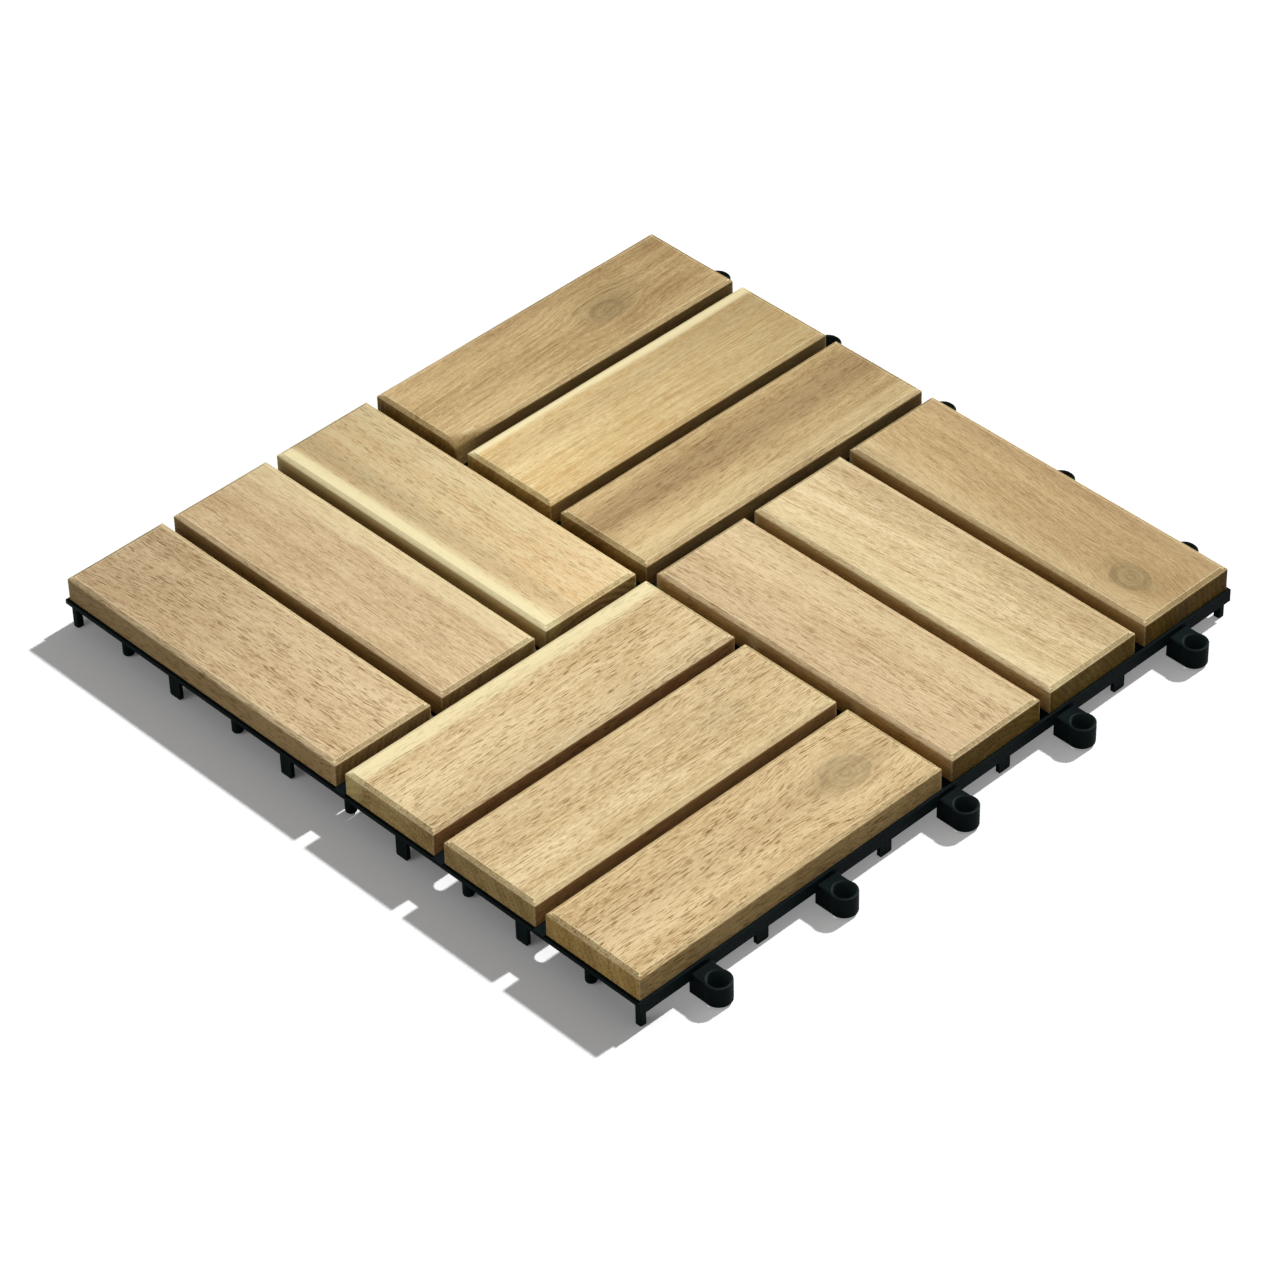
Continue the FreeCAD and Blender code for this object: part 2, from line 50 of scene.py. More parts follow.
class Nodes:
    """Short ways to add nodes to one node tree, of a material or of a shape."""

    def __init__(self, tree):
        self.tree = tree

    def add(self, kind, **settings):
        node = self.tree.nodes.new(kind)
        for name, value in settings.items():
            setattr(node, name, value)
        return node

    def link(self, value, socket):
        if isinstance(value, bpy.types.NodeSocket):
            self.tree.links.new(value, socket)
        else:
            socket.default_value = value

    def math(self, operation, a, b=0.0, c=0.0, clamp=False):
        node = self.add("ShaderNodeMath", operation=operation, use_clamp=clamp)
        for socket, value in zip(node.inputs, (a, b, c)):
            self.link(value, socket)
        return node.outputs[0]

    def plus(self, a, b, clamp=False):
        return self.math("ADD", a, b, clamp=clamp)

    def minus(self, a, b, clamp=False):
        return self.math("SUBTRACT", a, b, clamp=clamp)

    def times(self, a, b, clamp=False):
        return self.math("MULTIPLY", a, b, clamp=clamp)

    def size(self, value):
        return self.math("ABSOLUTE", value)

    def above(self, value, limit):
        """1 above a limit, 0 elsewhere."""
        return self.math("GREATER_THAN", value, limit)

    def choose(self, share, one, other):
        """One value where the share is 1, the other where it is 0."""
        return self.math("MULTIPLY_ADD", share, self.minus(one, other), other)

    def swing(self, noise, amount):
        """A noise's swing about its middle, times an amount."""
        return self.times(self.minus(noise, 0.5), amount)

    def ramp(self, value, low, high, out_low=0.0, out_high=1.0, smooth=True):
        """Carries low..high to out_low..out_high, held at the ends."""
        node = self.add("ShaderNodeMapRange", interpolation_type="SMOOTHSTEP" if smooth else "LINEAR")
        for name, number in zip(("Value", "From Min", "From Max", "To Min", "To Max"),
                                (value, low, high, out_low, out_high)):
            self.link(number, node.inputs[name])
        return node.outputs[0]

    def fall(self, value, full, gone, smooth=True):
        """1 up to one value, 0 past another."""
        return self.ramp(value, full, gone, 1.0, 0.0, smooth)

    def band(self, value, low, full_from, full_to, high):
        """1 between two values, fading to 0 outside them."""
        return self.times(self.ramp(value, low, full_from, smooth=False),
                          self.fall(value, full_to, high, smooth=False))

    def vector(self, operation, a, b=(0, 0, 0)):
        node = self.add("ShaderNodeVectorMath", operation=operation)
        self.link(a, node.inputs[0])
        self.link(b, node.inputs[1])
        return node.outputs["Value" if operation == "LENGTH" else "Vector"]

    def split(self, vector):
        node = self.add("ShaderNodeSeparateXYZ")
        self.link(vector, node.inputs[0])
        return node.outputs

    def join(self, x, y, z):
        node = self.add("ShaderNodeCombineXYZ")
        for socket, value in zip(node.inputs, (x, y, z)):
            self.link(value, socket)
        return node.outputs[0]

    def noise(self, place, scale, detail=2.0, roughness=0.5, seed=0.0):
        node = self.add("ShaderNodeTexNoise", noise_dimensions="4D")
        for name, value in zip(("Vector", "Scale", "Detail", "Roughness", "W"),
                               (place, scale, detail, roughness, seed)):
            self.link(value, node.inputs[name])
        return node.outputs[0]

    def stretched_noise(self, place, per_metre, detail=2.0, roughness=0.5, seed=0.0):
        """A noise that changes at its own rate along each axis."""
        return self.noise(self.vector("MULTIPLY", place, per_metre), 1.0, detail, roughness, seed)

    def mix(self, factor, a, b, blend="MIX"):
        node = self.add("ShaderNodeMix", data_type="RGBA", blend_type=blend)
        self.link(factor, node.inputs[0])
        self.link(a, node.inputs[6])
        self.link(b, node.inputs[7])
        return node.outputs[2]

    def tint(self, colour, share):
        """A colour with a share left of its red, green and blue."""
        return self.mix(1.0, colour, share, "MULTIPLY")

    def bump(self, height, strength, depth, shader):
        node = self.add("ShaderNodeBump")
        node.inputs["Strength"].default_value = strength
        node.inputs["Distance"].default_value = depth
        self.link(height, node.inputs["Height"])
        self.link(node.outputs[0], shader.inputs["Normal"])

    def store(self, mesh, name, data_type, domain, value):
        """A mesh with a named attribute put on it."""
        node = self.add("GeometryNodeStoreNamedAttribute", data_type=data_type, domain=domain)
        self.link(mesh, node.inputs["Geometry"])
        node.inputs["Name"].default_value = name
        self.link(value, node.inputs["Value"])
        return node.outputs[0]


FLOAT, COLOUR, VECTOR = "NodeSocketFloat", "NodeSocketColor", "NodeSocketVector"
GEOMETRY, MATERIAL = "NodeSocketGeometry", "NodeSocketMaterial"
WHITE, BLACK, NOWHERE = (1, 1, 1, 1), (0, 0, 0, 1), (0, 0, 0)


def group(name, inputs, outputs, kind_of_tree="ShaderNodeTree"):
    """A new node group with its input and output nodes."""
    tree = bpy.data.node_groups.new(name, kind_of_tree)
    for label, kind, value in inputs:
        socket = tree.interface.new_socket(label, in_out="INPUT", socket_type=kind)
        if value is not None:
            socket.default_value = value
    for label, kind in outputs:
        tree.interface.new_socket(label, in_out="OUTPUT", socket_type=kind)
    nodes = Nodes(tree)
    return tree, nodes, nodes.add("NodeGroupInput").outputs, nodes.add("NodeGroupOutput").inputs


def new_material(name):
    material = bpy.data.materials.new(name)
    material.use_nodes = True
    nodes = Nodes(material.node_tree)
    shader = next(node for node in material.node_tree.nodes if node.type == "BSDF_PRINCIPLED")
    return material, nodes, shader


def srgb(red, green, blue):
    """A colour named by its 0 to 255 display values, as the linear colour that the shader takes."""
    def linear(value):
        value /= 255
        return value / 12.92 if value <= 0.04045 else ((value + 0.055) / 1.055) ** 2.4
    return (linear(red), linear(green), linear(blue), 1.0)


# Wood of the slats

SAPWOOD, HEARTWOOD, BRANCH_PATCH = srgb(254, 239, 190), srgb(146, 112, 80), srgb(142, 124, 90)
# A knot's marks, laid on in this order: how much each covers, and its colour
KNOT_MARKS = {"Halo": (0.3, srgb(138, 118, 80)), "Heart": (0.34, srgb(166, 150, 112)),
              "Rings": (0.18, srgb(112, 95, 64)), "Outline": (0.8, srgb(98, 87, 62))}
# Torn fibre on a bevel, and the pale edge line: partly wear, partly painted highlight
TORN_FIBRE, WORN_AND_HIGHLIT_EDGE = srgb(120, 98, 56), srgb(252, 236, 190)
# What a mark leaves of the wood's own red, green and blue: open pores; painted shade for the light's falloff
# towards the tile's rim; end rings; a planed bevel
OPEN_PORE, PAINTED_FALLOFF_TINT = (0.36, 0.26, 0.15, 1.0), (0.55, 0.53, 0.5, 1.0)
END_RINGS, PLANED_BEVEL = (0.34, 0.28, 0.2, 1.0), (0.72, 0.73, 0.66, 1.0)


def knot_group():
    """How one knot bends the grain round it and darkens the wood, on a place along and across a slat."""
    tree, n, given, result = group(
        "knot",
        [("Place", VECTOR, NOWHERE), ("Centre", VECTOR, NOWHERE), ("Radius", FLOAT, 0.005),
         ("Strength", FLOAT, 0.0)],
        [("Bend", VECTOR), ("Heart", FLOAT), ("Outline", FLOAT), ("Rings", FLOAT), ("Halo", FLOAT),
         ("Dense", FLOAT)],
    )
    radius, strength = given["Radius"], given["Strength"]
    away = n.vector("SUBTRACT", given["Place"], given["Centre"])
    along, across, _ = n.split(away)

    # An oval, longer along the grain, with an uneven edge; its reach is 1 at the knot's rim
    oval = n.join(n.times(along, 0.8), across, 0.0)
    wobble = n.noise(away, 130.0)
    reach = n.math("DIVIDE", n.vector("LENGTH", oval), radius)
    reach = n.plus(reach, n.swing(wobble, 0.55))

    def within(distance, full, gone):
        return n.times(n.fall(distance, full, gone), strength)

    def ring(middle, half_width, darkness):
        return n.ramp(n.size(n.minus(reach, middle)), 0.0, half_width, darkness, 0.0)

    push = n.times(n.times(across, within(reach, 0.6, 4.5)), -0.6)
    n.link(n.join(0.0, push, 0.0), result["Bend"])
    n.link(within(reach, 0.5, 1.3), result["Heart"])

    # The core and the rim are broken, and darkest at the two ends that lie along the grain
    tips = n.math("DIVIDE", n.size(along), n.vector("LENGTH", away))
    broken = n.times(n.ramp(wobble, 0.36, 0.6, 0.2, 1.0), n.ramp(tips, 0.35, 0.95, 0.45, 1.0))
    outline = n.math("MAXIMUM", ring(0.25, 0.2, 0.6), ring(0.98, 0.34, 1.0))
    n.link(n.times(n.times(outline, broken), strength), result["Outline"])

    waves = n.math("SINE", n.plus(n.times(reach, 22.0), n.times(wobble, 4.0)))
    patchy = n.ramp(n.noise(away, 260.0, detail=1.0, seed=5.0), 0.3, 0.6, 0.35, 1.0)
    n.link(n.times(n.ramp(waves, -0.2, 1.0), n.times(within(reach, 0.8, 2.2), patchy)), result["Rings"])
    # The wood in and round a knot is too dense to show open pores
    n.link(within(reach, 1.2, 2.5), result["Dense"])

    # Darkened wood before and behind the knot, along the grain
    smudge = n.vector("LENGTH", n.join(n.times(along, 0.42), across, 0.0))
    smudge = n.plus(n.math("DIVIDE", smudge, radius), n.times(wobble, 1.6))
    n.link(within(smudge, 1.1, 2.6), result["Halo"])
    return tree


def timber_group(knot_tree):
    """The wood of one slat, from its own place along, across and up the slat, in metres."""
    tree, n, given, result = group(
        "timber",
        [("Place", VECTOR, NOWHERE), ("Seed", FLOAT, 0.0), ("Light wood", COLOUR, WHITE),
         ("Dark wood", COLOUR, BLACK), ("Streaks", FLOAT, 0.5), ("Pores", FLOAT, 0.5), ("Lean", FLOAT, 0.0),
         ("Painted light falloff", FLOAT, 0.0),
         ("Sapwood at", FLOAT, -1.0), ("Sapwood width", FLOAT, 0.004), ("Sapwood", FLOAT, 0.0),
         ("Brown at", FLOAT, -1.0), ("Brown width", FLOAT, 0.004), ("Brown", FLOAT, 0.0),
         ("Knot centre", VECTOR, NOWHERE), ("Knot radius", FLOAT, 0.005), ("Knot", FLOAT, 0.0),
         ("Patch centre", VECTOR, NOWHERE), ("Patch radius", FLOAT, 0.01), ("Patch", FLOAT, 0.0)],
        [("Colour", COLOUR), ("Roughness", FLOAT), ("Height", FLOAT)],
    )
    on_slat, seed = given["Place"], given["Seed"]
    knot = n.add("ShaderNodeGroup", node_tree=knot_tree)
    for name, source in (("Place", "Place"), ("Centre", "Knot centre"), ("Radius", "Knot radius"),
                         ("Strength", "Knot")):
        n.link(given[source], knot.inputs[name])

    # The grain bends round the knot, and leans and wanders a little from the slat's own line
    bent = n.vector("ADD", on_slat, knot.outputs["Bend"])
    drift = n.stretched_noise(bent, (9.0, 14.0, 14.0), detail=1.0, seed=seed)
    along, across, up = n.split(bent)
    across = n.minus(across, n.times(along, given["Lean"]))
    across = n.plus(across, n.swing(drift, 0.007))
    grain = n.join(along, across, up)

    def fibres(per_metre_along, per_metre_across, detail, roughness, offset):
        per_metre = (per_metre_along, per_metre_across, per_metre_across)
        return n.stretched_noise(grain, per_metre, detail, roughness, n.plus(seed, offset))

    broad = fibres(5.0, 62.0, detail=1.0, roughness=0.5, offset=3.1)
    streaks = fibres(7.0, 230.0, detail=4.0, roughness=0.62, offset=7.7)
    fine = fibres(70.0, 1700.0, detail=2.0, roughness=0.65, offset=12.4)
    nap = fibres(330.0, 3000.0, detail=1.0, roughness=0.5, offset=26.0)
    short_pores = fibres(260.0, 3500.0, detail=0.0, roughness=0.5, offset=17.9)
    long_pores = fibres(200.0, 2700.0, detail=0.0, roughness=0.5, offset=31.0)
    pore_share = fibres(16.0, 110.0, detail=1.0, roughness=0.5, offset=40.0)
    cloud = n.noise(on_slat, 45.0, seed=n.plus(seed, 21.0))
    sanding = n.noise(on_slat, 1500.0, roughness=0.6, seed=seed)

    tone = 0.42
    for layer, amount in ((broad, 1.3), (streaks, given["Streaks"]), (fine, 1.6), (nap, 0.9), (sanding, 1.1),
                          (cloud, 0.55)):
        tone = n.plus(tone, n.swing(layer, amount))
    colour = n.mix(tone, given["Light wood"], given["Dark wood"])

    def stripe(name, raggedness, full, gone):
        """Where a stripe along the slat shows, from its middle, its half width and its strength."""
        off = n.size(n.minus(n.split(on_slat)[1], given[f"{name} at"]))
        off = n.math("DIVIDE", off, given[f"{name} width"])
        off = n.plus(off, n.swing(streaks, raggedness))
        off = n.plus(off, n.swing(drift, 0.8))
        return n.times(n.fall(off, full, gone), given[name])

    sapwood = stripe("Sapwood", 1.6, 0.5, 1.4)
    colour = n.mix(sapwood, colour, SAPWOOD)
    colour = n.mix(stripe("Brown", 2.2, 0.1, 1.4), colour, HEARTWOOD)

    # A greyish patch, as beside a branch, longer along the grain
    away = n.vector("MULTIPLY", n.vector("SUBTRACT", on_slat, given["Patch centre"]), (0.6, 1.0, 0.0))
    reach = n.math("DIVIDE", n.vector("LENGTH", away), given["Patch radius"])
    reach = n.plus(reach, n.swing(cloud, 1.2))
    colour = n.mix(n.times(n.fall(reach, 0.1, 1.4), given["Patch"]), colour, BRANCH_PATCH)

    for mark, (cover, shade) in KNOT_MARKS.items():
        colour = n.mix(n.times(knot.outputs[mark], cover), colour, shade)

    # Open pores: short dark strokes along the grain, few in the sapwood
    limit = n.ramp(pore_share, 0.3, 0.75, 0.68, 0.605, smooth=False)
    pores = n.ramp(n.minus(short_pores, limit), 0.0, 0.05)
    paler_pores = n.times(n.ramp(n.minus(long_pores, limit), 0.03, 0.09), 0.8)
    pores = n.math("MAXIMUM", pores, paler_pores)
    pores = n.times(pores, n.ramp(sapwood, 0.0, 1.0, 1.0, 0.25, smooth=False))
    pores = n.times(pores, n.minus(1.0, knot.outputs["Dense"]))
    colour = n.mix(n.times(pores, given["Pores"]), colour, n.tint(colour, OPEN_PORE))

    # Painted shade: each slat darkens towards its outer end, as the light falls off towards the tile's rim,
    # less so in its sapwood
    outwards = n.ramp(n.size(n.split(on_slat)[0]), 0.0, 150 * MM, smooth=False)
    painted_falloff = n.times(n.times(outwards, given["Painted light falloff"]),
                  n.ramp(sapwood, 0.0, 1.0, 1.0, 0.3, smooth=False))
    colour = n.mix(painted_falloff, colour, n.tint(colour, PAINTED_FALLOFF_TINT))

    n.link(colour, result["Colour"])
    n.link(n.plus(n.times(pores, 0.15), n.ramp(fine, 0.2, 0.8, 0.48, 0.62)), result["Roughness"])
    n.link(n.minus(n.times(fine, 0.5), pores), result["Height"])
    return tree


def cut_faces_group():
    """What saw and plane leave beside a slat's top: sawn ends with rings and a rough bevel; darker ends and
    sides, partly the wood's own tone and partly painted shade.
    """
    tree, n, given, result = group(
        "cut faces",
        [("Place", VECTOR, NOWHERE), ("Seed", FLOAT, 0.0), ("Colour", COLOUR, WHITE),
         ("End", FLOAT, 0.0), ("Side", FLOAT, 0.0), ("Bevel", FLOAT, 0.0), ("Crest", FLOAT, 0.0),
         ("End tint", COLOUR, WHITE), ("Side tint", COLOUR, WHITE)],
        [("Colour", COLOUR), ("Height", FLOAT)],
    )
    on_slat, seed, wood, bevel = given["Place"], given["Seed"], given["Colour"], given["Bevel"]
    _, across, up = n.split(on_slat)

    # The growth rings' centre lies 12 mm below the ground, up to 30 mm to either side
    centre_across = n.times(n.math("SINE", n.times(seed, 2.3)), 30 * MM)
    from_centre = n.join(n.minus(across, centre_across), n.plus(up, 12 * MM), 0.0)
    uneven = n.noise(on_slat, 90.0, seed=seed)
    reach = n.plus(n.vector("LENGTH", from_centre), n.times(uneven, 4 * MM))
    rings = n.math("SINE", n.times(reach, 2300.0))
    broad_rings = n.math("SINE", n.times(reach, 640.0))
    dots = n.noise(on_slat, 1500.0, detail=1.0, seed=seed)
    saw_lines = n.stretched_noise(on_slat, (520.0, 520.0, 60.0), seed=seed)
    dark = n.plus(n.times(n.ramp(rings, -0.6, 1.0), 0.16), n.times(n.ramp(broad_rings, -0.3, 1.0), 0.18))
    dark = n.plus(dark, n.times(n.ramp(dots, 0.52, 0.68), 0.3))
    dark = n.plus(dark, n.swing(saw_lines, 0.5))
    dark = n.plus(dark, n.swing(uneven, 0.5))
    # Ends and sides take their tints: the end grain's own tone and deeper oil, and painted shade on faces
    # turned from the light or in the gaps
    sawn = n.tint(wood, given["End tint"])
    sawn = n.mix(dark, sawn, n.tint(sawn, END_RINGS))
    colour = n.mix(given["Side"], wood, n.tint(wood, given["Side tint"]))
    colour = n.mix(given["End"], colour, sawn)

    # The bevel's darker, torn fibres, and a pale line along each edge: partly wear, partly painted highlight
    # where the edge catches the light
    torn = n.noise(on_slat, 900.0, roughness=0.6, seed=seed)
    colour = n.mix(bevel, colour, n.tint(colour, PLANED_BEVEL))
    colour = n.mix(n.times(n.ramp(torn, 0.5, 0.66), n.times(bevel, 0.3)), colour, TORN_FIBRE)
    wear_and_highlight = n.times(given["Crest"], n.ramp(torn, 0.38, 0.62, 0.85, 0.25))
    colour = n.mix(wear_and_highlight, colour, WORN_AND_HIGHLIT_EDGE)
    n.link(colour, result["Colour"])
    rough_end = n.times(n.plus(rings, dots), given["End"])
    n.link(n.plus(rough_end, n.times(torn, n.times(bevel, 2.5))), result["Height"])
    return tree


TIMBER = timber_group(knot_group())
CUT_FACES = cut_faces_group()

# Light and dark wood of a slat
HONEY = (srgb(247, 225, 179), srgb(202, 170, 119))
PALE = (srgb(255, 235, 185), srgb(236, 200, 146))
GOLD = (srgb(255, 232, 176), srgb(222, 184, 122))
OLIVE = (srgb(240, 214, 166), srgb(196, 164, 114))
ROSE = (srgb(240, 214, 171), srgb(197, 165, 121))
AMBER = (srgb(222, 194, 145), srgb(182, 149, 103))
UMBER = (srgb(231, 203, 150), srgb(173, 140, 93))
# What a sawn end or a side leaves of the wood's own red, green and blue: partly the end grain's own darker
# tone and deeper oil, partly painted shade on faces turned from the light and in the gaps between slats
PALE_END, FAIR_END = (0.66, 0.60, 0.42, 1.0), (0.79, 0.72, 0.45, 1.0)
BROWN_END = (0.58, 0.52, 0.36, 1.0)
DARK_END, SHADED_END = (0.30, 0.24, 0.08, 1.0), (0.42, 0.38, 0.24, 1.0)
OIL_AND_SHADE_SIDE, LIGHT_OIL_AND_SHADE_SIDE = (0.60, 0.54, 0.42, 1.0), (0.76, 0.69, 0.53, 1.0)
DARK_SIDE, RUDDY_SIDE = (0.38, 0.33, 0.23, 1.0), (0.74, 0.56, 0.40, 1.0)

# Each slat's wood. Places are in millimetres on the tile: X then Y, or the one that runs across the slat.
# Sapwood and brown: middle, half width, strength. Knot and patch: place, radius, strength.
# The falloff share of a slat is painted shade: how far it darkens towards its outer end, where the light
# falls off.
SLAT_LOOKS = {
    "slat_front_right_inner": {"wood": HONEY, "streaks": 1.4, "pores": 0.8, "sapwood": (6, 5, 0.8),
                               "brown": (44, 11, 0.2), "side": RUDDY_SIDE},
    "slat_front_right_middle": {"wood": HONEY, "streaks": 0.9, "pores": 0.7, "sapwood": (95, 4, 0.2),
                                "brown": (63, 7, 0.1), "patch": ((75, -38), 8, 0.18), "side": RUDDY_SIDE,
                                "end": BROWN_END},
    "slat_front_right_outer": {"wood": OLIVE, "streaks": 1.0, "pores": 0.9, "brown": (123, 9, 0.14),
                               "knot": ((125.5, -28.0), 7.0, 0.7), "side": LIGHT_OIL_AND_SHADE_SIDE, "end": FAIR_END},
    "slat_back_right_inner": {"wood": ROSE, "streaks": 1.0, "pores": 0.6, "lean": 0.04,
                              "sapwood": (40, 5, 0.25), "brown": (10, 8, 0.1), "end": DARK_END},
    "slat_back_right_middle": {"wood": HONEY, "streaks": 1.2, "pores": 0.5, "lean": 0.08, "falloff_shade": 0.12,
                               "sapwood": (59, 6, 0.3), "brown": (92, 8, 0.2), "end": DARK_END},
    "slat_back_right_outer": {"wood": AMBER, "streaks": 0.9, "pores": 0.35, "lean": -0.1, "falloff_shade": 0.12,
                              "sapwood": (107, 6, 0.15), "brown": (144, 6, 0.25),
                              "knot": ((126.1, 118.7), 5.8, 1.0), "patch": ((13, 98.5), 9, 0.5),
                              "end": DARK_END},
    "slat_back_left_inner": {"wood": UMBER, "streaks": 1.6, "pores": 0.5, "lean": -0.03, "falloff_shade": 0.4,
                             "sapwood": (-8, 4.5, 0.2), "brown": (-31, 9, 0.45), "end": SHADED_END},
    "slat_back_left_middle": {"wood": GOLD, "streaks": 1.7, "pores": 0.3, "falloff_shade": 0.85,
                              "sapwood": (-96.6, 3.3, 0.95), "brown": (-85, 6, 0.15), "end": SHADED_END},
    "slat_back_left_outer": {"wood": UMBER, "streaks": 1.2, "pores": 0.3, "lean": -0.035, "falloff_shade": 0.4,
                             "brown": (-145, 8, 0.15), "knot": ((-123, 99.7), 5.4, 0.75),
                             "patch": ((-128, 106), 11, 0.4), "end": SHADED_END},
    "slat_front_left_inner": {"wood": PALE, "streaks": 1.7, "pores": 0.5, "falloff_shade": 0.75,
                              "sapwood": (-44.5, 4.2, 1.0), "brown": (-35, 6, 0.25)},
    "slat_front_left_middle": {"wood": ROSE, "streaks": 1.3, "pores": 0.45, "falloff_shade": 0.4,
                               "sapwood": (-57, 5, 0.4), "side": DARK_SIDE},
    "slat_front_left_outer": {"wood": ROSE, "streaks": 1.0, "pores": 0.75, "lean": 0.05, "falloff_shade": 0.7,
                              "sapwood": (-103, 3, 0.2)},
}

# The marks of a board's cut faces, which its mesh holds as attributes of the same names in small letters
FACE_MARKS = ("End", "Side", "Bevel", "Crest")


def timber_material(node_name, look, seed, along_x):
    """One slat's own wood. Its attribute "grain" holds the place along, across and up, in metres."""
    material, n, shader = new_material(f"timber_{node_name}")
    place = n.add("ShaderNodeAttribute", attribute_name="grain").outputs["Vector"]

    def on_slat(spot):
        x, y = spot
        return (x * MM, y * MM, 0.0) if along_x else (y * MM, x * MM, 0.0)

    values = {"Seed": seed, "Light wood": look["wood"][0], "Dark wood": look["wood"][1],
              "Streaks": look["streaks"], "Pores": look["pores"], "Lean": look.get("lean", 0.0),
              "Painted light falloff": look.get("falloff_shade", 0.0)}
    for name in ("Sapwood", "Brown"):
        middle, width, strength = look.get(name.lower(), (0, 1, 0))
        values.update({f"{name} at": middle * MM, f"{name} width": width * MM, name: strength})
    for name in ("Knot", "Patch"):
        spot, radius, strength = look.get(name.lower(), ((0, 0), 5, 0.0))
        values.update({f"{name} centre": on_slat(spot), f"{name} radius": radius * MM, name: strength})
    timber = n.add("ShaderNodeGroup", node_tree=TIMBER)
    n.link(place, timber.inputs["Place"])
    for name, value in values.items():
        timber.inputs[name].default_value = value

    cut = n.add("ShaderNodeGroup", node_tree=CUT_FACES)
    n.link(place, cut.inputs["Place"])
    cut.inputs["Seed"].default_value = seed
    cut.inputs["End tint"].default_value = look.get("end", PALE_END)
    cut.inputs["Side tint"].default_value = look.get("side", OIL_AND_SHADE_SIDE)
    n.link(timber.outputs["Colour"], cut.inputs["Colour"])
    for mark in FACE_MARKS:
        attribute = n.add("ShaderNodeAttribute", attribute_name=mark.lower())
        n.link(attribute.outputs["Fac"], cut.inputs[mark])
    n.link(cut.outputs["Colour"], shader.inputs["Base Color"])
    n.link(timber.outputs["Roughness"], shader.inputs["Roughness"])
    shader.inputs["Specular IOR Level"].default_value = 0.05
    height = n.plus(timber.outputs["Height"], n.times(cut.outputs["Height"], 0.4))
    n.bump(height, strength=0.5, depth=0.12 * MM, shader=shader)
    return material


# Shape of the slats

BEVEL_WIDTH, BEVEL_DROP = 2.0 * MM, 0.9 * MM
CREST_ROUND, ARRIS_ROUND = 0.18 * MM, 0.45 * MM
CREST_ANGLE, ARRIS_ANGLE = math.radians(15), math.radians(40)
MESH_STEP = 2.5 * MM
# How far planing and weather take the sides and the top inside the true board, at most
SIDE_WAVE, TOP_WAVE = 0.1 * MM, 0.12 * MM
WAVES_PER_METRE = (45.0, 45.0, 60.0)
# The slat whose near corner keeps a strip of the tree's own round edge
WANE_SLAT, WANE_CORNER = "slat_back_left_outer", (-102.5 * MM, 2.5 * MM)
WANE_LENGTH, WANE_DEPTH = 22 * MM, 3.2 * MM
# The wane's breadth, and how far it goes back and down, in shares of its depth
WANE_BREADTH, WANE_BACK, WANE_DOWN = 2.4, 0.55, 0.75
# Each slat's noises are drawn with a seed of its own
FIRST_SEED, SEED_STEP = 3.7, 5.3


def wane(n, place):
    """How near a place is to the wane's corner along the slat's edge, and to that edge: 0 to 1 each."""
    x, y, _ = n.split(place)
    beside = n.fall(n.size(n.minus(y, WANE_CORNER[1])), 0.0, WANE_LENGTH, smooth=False)
    breadth = n.times(n.math("MAXIMUM", beside, 0.05), WANE_BREADTH * WANE_DEPTH)
    off_edge = n.math("DIVIDE", n.minus(WANE_CORNER[0], x), breadth)
    return beside, n.minus(1.0, off_edge, clamp=True)


def lines_across(n, place, length, vertices, bevel_width, mesh_step):
    """Spaces the mesh's lines over a board: the outermost at its faces, the next at the bevel's inner edge.

    Gives each point's place, and 1 on the outermost lines.
    """
    half = n.times(length, 0.5)
    inside = n.minus(half, bevel_width)
    spans = n.math("ROUND", n.math("DIVIDE", n.times(inside, 2.0), mesh_step))
    n.link(n.plus(spans, 3.0), vertices)
    step = n.math("DIVIDE", length, n.plus(spans, 2.0))
    outermost = n.above(n.size(place), n.minus(half, n.times(step, 0.5)))
    inner_place = n.times(place, n.math("DIVIDE", inside, n.minus(half, step)))
    return n.choose(outermost, place, inner_place), outermost


def rounding_weights(n, top, bevel_drop):
    """How far wear has rounded each edge: arrises fully, less the crest where a bevel meets the top."""
    angle = n.add("GeometryNodeInputMeshEdgeAngle").outputs["Unsigned Angle"]
    ends = n.add("GeometryNodeInputMeshEdgeVertices").outputs
    lower_end = n.math("MINIMUM", n.split(ends["Position 1"])[2], n.split(ends["Position 2"])[2])
    near_top = n.above(lower_end, n.minus(top, n.times(bevel_drop, 0.2)))
    crest = n.times(n.above(angle, CREST_ANGLE), near_top)
    return n.math("MAXIMUM", n.above(angle, ARRIS_ANGLE), n.times(crest, CREST_ROUND / ARRIS_ROUND))


def end_tree(n, board, wood, result):
    """Ends a board's tree as a real mesh with its wood."""
    real = n.add("GeometryNodeRealizeInstances")
    n.link(board, real.inputs["Geometry"])
    dressed = n.add("GeometryNodeSetMaterial")
    n.link(real.outputs["Geometry"], dressed.inputs["Geometry"])
    n.link(wood, dressed.inputs["Material"])
    n.link(dressed.outputs["Geometry"], result["Board"])


